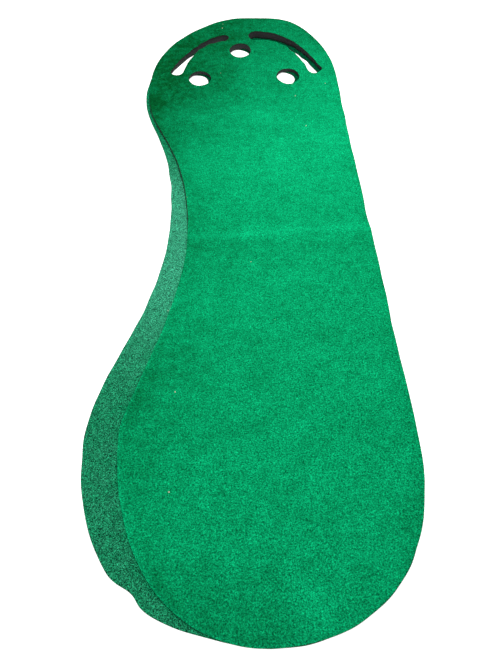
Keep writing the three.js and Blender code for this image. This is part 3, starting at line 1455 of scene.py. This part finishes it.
@dataclass
class UpperSheet(TurfSheet):
    """The putting turf and its latex backing, which climb the wedge together."""

    pile_pitch_mm: float = 5.6
    cup_knife: Knife = Knife(0.7, 0.07, 31)
    slot_knife: Knife = Knife(1.3, 0.05, 41)
    left_lift_mm: float = 6.5
    left_lip_mm: float = 2.3
    lip_mm: float = 0.2
    right_ripple_mm: float = 2.2
    ripple_run: float = 0.023
    plain_tone: float = 0.54

    def __post_init__(self) -> None:
        """Cuts the sheet's rims."""
        s = self.shape
        fine = s.cut_spacing_mm * MM
        cuts = self.cup_knife.cut(s.cups(), fine) + self.slot_knife.cut(s.slots(), fine)
        self.cut(s.putting_outline(), cuts)
        self.from_outline = DistanceField(self.rims[:1], 12 * MM)

    def waist(self, places: Array) -> Array:
        """1 along the left side from the crease to the ramp, and 0 elsewhere."""
        y = places[:, 1]
        return step(y, -0.09, 0.06) * (1 - step(y, 0.62, 0.86)) * (places[:, 0] < 0)

    def lift(self, places: Array) -> Array:
        """How far the edge has curled off the fringe: a swell along the waist, ripples on the
        right, both dying away from the rim as exp of minus the distance over a reach.

        Args:
            places: (n, 2) places.

        Returns:
            Heights in metres.
        """
        from_rim = np.abs(self.from_outline(places))
        x, y = places[:, 0], places[:, 1]
        swell = self.left_lift_mm * (0.75 + 0.25 * smooth_noise(places, 0.14, 8))
        swell *= self.waist(places)
        ripples = (x > 0) * step(y, 0.2, 0.45) * (1 - step(y, 0.95, 1.1))
        wave = self.right_ripple_mm * (0.5 + 0.5 * np.sin(y / self.ripple_run)) * ripples
        return (swell * np.exp(-from_rim / 0.022) + wave * np.exp(-from_rim / 0.018)) * MM

    def base(self, places: Array) -> Array:
        """Height that both layers of the sheet add to their own."""
        return self.shape.rise(places[:, 1]) + self.shape.lie(places) + self.lift(places)

    def backing_rims(self) -> list[Array]:
        """Rims of the backing, whose outline stands out as a lip, most at the waist.

        Returns:
            The outline and the cuts.
        """
        outline = self.rims[0]
        lip = (self.lip_mm + self.left_lip_mm * self.waist(outline)) * MM
        return [outline + outward(outline) * lip[:, None], *self.rims[1:]]

    def lay_out_pile(self, plan: SheetPlan) -> None:
        """Sets how densely the faces of the pile's top are laid out: closely all over."""
        plan.top_pitch = self.pile_pitch_mm * MM

    def left_shade(self, places: Array, from_rim: Array) -> Array:
        """How much painted shade darkens the pile on the left, away from the light at the right:
        the sum of the depths, times a step that falls to the right, times exp of minus the distance
        from the outline over a reach. On the ramp the step lies further right and the reach is
        longer.

        Args:
            places: (n, 2) places.
            from_rim: their distances from the outline.

        Returns:
            What to take off the lightness.
        """
        x, y = places[:, 0], places[:, 1]
        ramp = ON_RAMP(y)
        left = 1 - step(x, -0.12 + 0.08 * ramp, 0.20 + 0.25 * ramp)
        depth = sum(amount * along(y) for amount, along in LEFT_DEPTHS)
        depth *= 1 - 0.35 * step(y, 1.0, 1.3)
        return depth * left * np.exp(-from_rim / (0.13 + 0.17 * ramp))

    def tone(self, places: Array) -> Array:
        """How light the pile is painted: lighter past the fold, with painted light and shade in
        areas, and at the crease a painted highlight along the ridge with painted shade before it.

        Args:
            places: (n, 2) places.

        Returns:
            Lightness, about 0 to 0.7.
        """
        fold = self.shape.fold
        from_rim = np.maximum(self.from_outline(places), 0)
        lighter_past_fold = Shade(0.065, along=slope(fold, fold + 0.3))
        tone = shaded(places, from_rim, self.plain_tone, (lighter_past_fold, *PUTTING_SHADES))
        tone -= self.left_shade(places, from_rim)
        # A painted highlight along the crease's ridge, and painted shade before it.
        past = self.shape.past_crease(places) + 0.006 * smooth_noise(places, 0.16, 4)
        return tone + 0.16 * bump(past, 0.008, 0.018) - 0.055 * bump(past, -0.055, 0.036)


@dataclass(kw_only=True)
class LowerSheet(TurfSheet):
    """The fringe turf and the non-skid backing below it, flat on the floor."""

    above: UpperSheet
    pile_pitch_mm: float = 16
    shown_pitch_mm: float = 2.4
    shown_under_mm: float = 5
    cup_shifts_mm: tuple[tuple[float, float], ...] = ((-7, 2), (-12, 1), (-19, 1))
    slot_shifts_mm: tuple[tuple[float, float], ...] = ((-7, -5), (-12, -15))
    cut_knife: Knife = Knife(1.2, 0.06, 51)
    plain_tone: float = 0.24
    # Painted deep shade on the fringe where it shows inside the cuts.
    cut_tone: float = -0.55
    cut_from_mm: float = 4

    def __post_init__(self) -> None:
        """Cuts the sheet's rims."""
        s = self.shape
        shifts = np.array(self.cup_shifts_mm + self.slot_shifts_mm) * MM
        shifted = [c + shift for c, shift in zip(s.cups() + s.slots(), shifts)]
        self.cut(s.fringe_outline(), self.cut_knife.cut(shifted, s.cut_spacing_mm * MM))

    def shows(self, places: Array) -> Array:
        """Whether each place is past the upper sheet's rims, or just under them."""
        return self.above.field(places) < self.shown_under_mm * MM

    def lay_out_pile(self, plan: SheetPlan) -> None:
        """Sets how densely the faces of the pile's top are laid out: closely where it shows."""
        plan.top_pitch, plan.dense = self.pile_pitch_mm * MM, self.shows
        plan.dense_pitch = self.shown_pitch_mm * MM

    def tone(self, places: Array) -> Array:
        """How light the pile is painted: painted sheen and shadow in areas, and painted deep shade
        inside the cuts.

        Args:
            places: (n, 2) places.

        Returns:
            Lightness, below 0 in the shade.
        """
        from_edge = -self.above.from_outline(places)
        open_air = shaded(places, np.maximum(from_edge, 0), self.plain_tone, FRINGE_SHADES)
        return np.where(from_edge < -self.cut_from_mm * MM, self.cut_tone, open_air)


@dataclass
class HeadWedge:
    """The foam between the two sheets, from its thin toe to the head's end."""

    shape: MatShape
    above: UpperSheet
    inset_mm: float = 0.8
    rim_spacing_mm: float = 4
    pitch_mm: float = 14
    saw_rows: int = 9
    saw_mm: float = 0.35

    def build(self, groups: Groups) -> list[bpy.types.Object]:
        """Builds the wedge, cut by the knife that cut the upper sheet, with saw marks round it.

        Args:
            groups: the shared node groups.

        Returns:
            The foam.
        """
        s = self.shape
        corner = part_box("foam_ramp")[0]
        outline, *cuts = [rim - outward(rim) * self.inset_mm * MM for rim in self.above.rims]
        outline = outline[outline[:, 1] > corner.y]
        outline = np.roll(outline, -int(np.argmin(outline[:, 1])), 0)
        outline = evenly_spaced(outline, self.rim_spacing_mm * MM)
        rims = [wound(outline, True)] + [wound(c, False) for c in cuts]
        out = np.random.default_rng(11).uniform(-self.saw_mm, self.saw_mm, self.saw_rows)
        profile = EdgeProfile(tuple(out), tuple(np.linspace(0, 1, self.saw_rows)))
        plan = SheetPlan(rims, DistanceField(rims, 8 * MM), s.fold, self.pitch_mm * MM)

        def low(places: Array) -> Array:
            """The underside, on the fringe turf."""
            return s.lie(places) + corner.z

        def high(places: Array) -> Array:
            """The top, which lifts the upper sheet."""
            return s.lie(places) + corner.z + s.rise(places[:, 1])

        mesh = closed_sheet(plan, low, high, profile, lambda p: np.ones(len(p)), 300)
        foam = mesh.build("foam_ramp_wedge")
        foam.data.materials.append(FOAM.material(groups))
        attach(foam, "head_half")
        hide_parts("foam_ramp")
        return [foam]


@dataclass
class RimFibres:
    """Fibre ends that stick out all round the cut edges of a turf."""

    name: str
    sheet: TurfSheet
    seed: int
    length_mm: float
    per_m: float = 2600
    width_mm: float = 0.38
    root_mm: float = 1.1
    root_share: tuple[float, float] = (0.1, 0.85)
    sideways: float = 0.5
    outwards: tuple[float, float] = (0.2, 1.0)
    upwards: tuple[float, float] = (0.15, 0.9)
    length_share: tuple[float, float] = (0.5, 1)
    tone_spread: float = 0.08

    def build(self, groups: Groups) -> list[bpy.types.Object]:
        """Roots each fibre at a random place along a rim and height in the pile, and leans it
        outwards and up by random amounts.

        Args:
            groups: the shared node groups.

        Returns:
            The fibres, as one piece.
        """
        rng = np.random.default_rng(self.seed)
        pile, flat = self.sheet.pile, self.sheet.pile.flat
        loops = [evenly_spaced(r, 1 / self.per_m) for r in self.sheet.rims]
        rim, out = np.vstack(loops), np.vstack([outward(r) for r in loops])
        count = len(rim)
        place = rim - out * (rng.uniform(0.0, self.root_mm, count) * MM)[:, None]
        height = flat.under + (flat.top - flat.under) * rng.uniform(*self.root_share, count)
        roots = np.column_stack([place, self.sheet.base(place) + height])
        along = np.stack([-out[:, 1], out[:, 0]], 1) * rng.normal(0, self.sideways, count)[:, None]
        across = out * rng.uniform(*self.outwards, count)[:, None] + along
        lean = np.column_stack([across, rng.uniform(*self.upwards, count)])
        lean /= np.linalg.norm(lean, axis=1, keepdims=True)
        length = rng.uniform(*self.length_share, count) * self.length_mm * MM
        # The fibres take the sheet's tone, its painted light and shade included.
        tone = self.sheet.tone(place) + rng.normal(0, self.tone_spread, count)
        width = np.full(count, self.width_mm * MM / 2)
        mesh = blades(roots, roots + lean * length[:, None], width, tone, self.seed)
        piece = mesh.build(self.name)
        piece.data.materials.append(pile.finish.material(groups))
        self.sheet.shape.bend(piece)
        return [piece]


PUTTING_LAYERS = (
    LayerSpec(
        "putting_turf", ("putting_turf_head", "putting_turf_foot"),
        Slot.PUTTING_TURF, PUTTING_TURF, ("putting_turf_backing",),
    ),
    LayerSpec(
        "putting_turf_backing", ("putting_backing_head", "putting_backing_foot"),
        Slot.BACKING, LATEX, ("foam_ramp", "fringe_turf"),
    ),
)  # fmt: skip
FRINGE_LAYERS = (
    LayerSpec(
        "fringe_turf", ("fringe_turf_head", "fringe_turf_foot"),
        Slot.FRINGE_TURF, FRINGE_TURF, ("fringe_backing",),
    ),
    LayerSpec(
        "fringe_backing", ("fringe_backing_head", "fringe_backing_foot"),
        Slot.NON_SKID, NON_SKID, ("floor",),
    ),
)  # fmt: skip


# ---- The studio ----


@dataclass(frozen=True)
class SoftBox:
    """A square lamp, aimed at a point of the mat."""

    name: str
    at: tuple[float, float, float]
    aim: tuple[float, float, float]
    side: float
    watts: float

    def build(self) -> None:
        """Hangs the lamp and turns it to its aim."""
        data = bpy.data.lights.new(self.name, "AREA")
        data.shape, data.size, data.energy = "SQUARE", self.side, self.watts
        lamp = bpy.data.objects.new(self.name, data)
        lamp.location = self.at
        lamp.rotation_mode = "QUATERNION"
        aim = Vector(self.aim) - Vector(self.at)
        lamp.rotation_quaternion = aim.to_track_quat("-Z", "Y")
        bpy.context.scene.collection.objects.link(lamp)


@dataclass(frozen=True)
class Studio:
    """White floor, soft lamps and the camera of someone who stands at the foot of the mat."""

    camera_at: tuple[float, float, float] = (-0.02954, -1.6730, 1.57664)
    down_degrees: float = 52.584
    heading_degrees: float = 1.472
    roll_degrees: float = -0.536
    lens_mm: float = 35.0
    ambient: float = 0.45
    lamps: tuple[SoftBox, ...] = (
        SoftBox("key softbox", (0.45, 0.75, 2.7), (0.05, 0.2, 0.0), 1.3, 62),
        SoftBox("fill softbox", (-1.3, -1.6, 2.3), (0.0, -0.1, 0.0), 1.4, 14),
    )

    def build(self) -> None:
        """Builds the studio and sets the scene's camera."""
        self._floor()
        self._world()
        for lamp in self.lamps:
            lamp.build()
        data = bpy.data.cameras.new("camera")
        data.lens, data.sensor_width, data.sensor_fit = self.lens_mm, 36.0, "AUTO"
        data.clip_start, data.clip_end = 0.05, 200.0
        camera = bpy.data.objects.new("camera", data)
        bpy.context.scene.collection.objects.link(camera)
        tilt = Matrix.Rotation(math.radians(90 - self.down_degrees), 4, "X")
        turn = Matrix.Rotation(math.radians(-self.heading_degrees), 4, "Z")
        roll = Matrix.Rotation(math.radians(self.roll_degrees), 4, "Z")
        camera.matrix_world = Matrix.Translation(self.camera_at) @ turn @ tilt @ roll
        bpy.context.scene.camera = camera
        bpy.context.scene.view_settings.view_transform = "Standard"

    def _floor(self) -> None:
        """A wide white floor, lit evenly from within as an overexposed sweep is."""
        half, drop = 30.0, 0.0008
        data = bpy.data.meshes.new("floor")
        corners = [(-half, -half), (half, -half), (half, half), (-half, half)]
        data.from_pydata([(x, y, -drop) for x, y in corners], [], [(0, 1, 2, 3)])
        floor = bpy.data.objects.new("floor", data)
        bpy.context.scene.collection.objects.link(floor)
        material, n, shader = start_material("white sweep")
        n.join(shader, "Base Color", (0.9, 0.9, 0.9, 1))
        n.join(shader, "Roughness", 1.0)
        n.join(shader, "Specular IOR Level", 0.0)
        n.join(shader, "Emission Color", (1, 1, 1, 1))
        n.join(shader, "Emission Strength", 0.8)
        data.materials.append(material)
        floor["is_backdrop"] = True

    def _world(self) -> None:
        """Even light from all round, with a plain white background."""
        world = bpy.data.worlds.new("studio")
        world.use_nodes = True
        n = Nodes(world.node_tree)
        seen = n.add("LightPath").outputs["Is Camera Ray"]
        backdrop = world.node_tree.nodes["Background"]
        n.join(backdrop, "Color", (1, 1, 1, 1))
        n.join(backdrop, "Strength", n.math("MAXIMUM", seen, self.ambient))
        bpy.context.scene.world = world


def main() -> None:
    """Builds the mat from the top sheet down, then the studio."""
    logging.basicConfig(level=logging.INFO, format="%(name)s: %(message)s")
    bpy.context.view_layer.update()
    groups = Groups()
    shape = MatShape.of_frame()
    upper = UpperSheet(
        shape, *PUTTING_LAYERS, mesh_seed=100, outline_knife=Knife(0.5, 0.12, 21),
        tufts=Tufts(0.22, 0.25, 0.02, math.inf, noise_seed=6, random_seed=5),
    )  # fmt: skip
    lower = LowerSheet(
        shape, *FRINGE_LAYERS, mesh_seed=200, outline_knife=Knife(0.7, 0.1, 22),
        tufts=Tufts(0.4, 0.3, 0.015, 0.2, noise_seed=9, random_seed=7),
        sink_mm=0.4, above=upper,
    )  # fmt: skip
    builders = (
        upper,
        lower,
        HeadWedge(shape, upper),
        RimFibres("putting_turf_rim_fibres", upper, seed=400, length_mm=1.7),
        RimFibres("fringe_turf_rim_fibres", lower, seed=420, length_mm=2.4),
    )
    made = [piece for builder in builders for piece in builder.build(groups)]
    log.info("%d pieces", len(made))
    Studio().build()


if __name__ == "__main__":
    main()
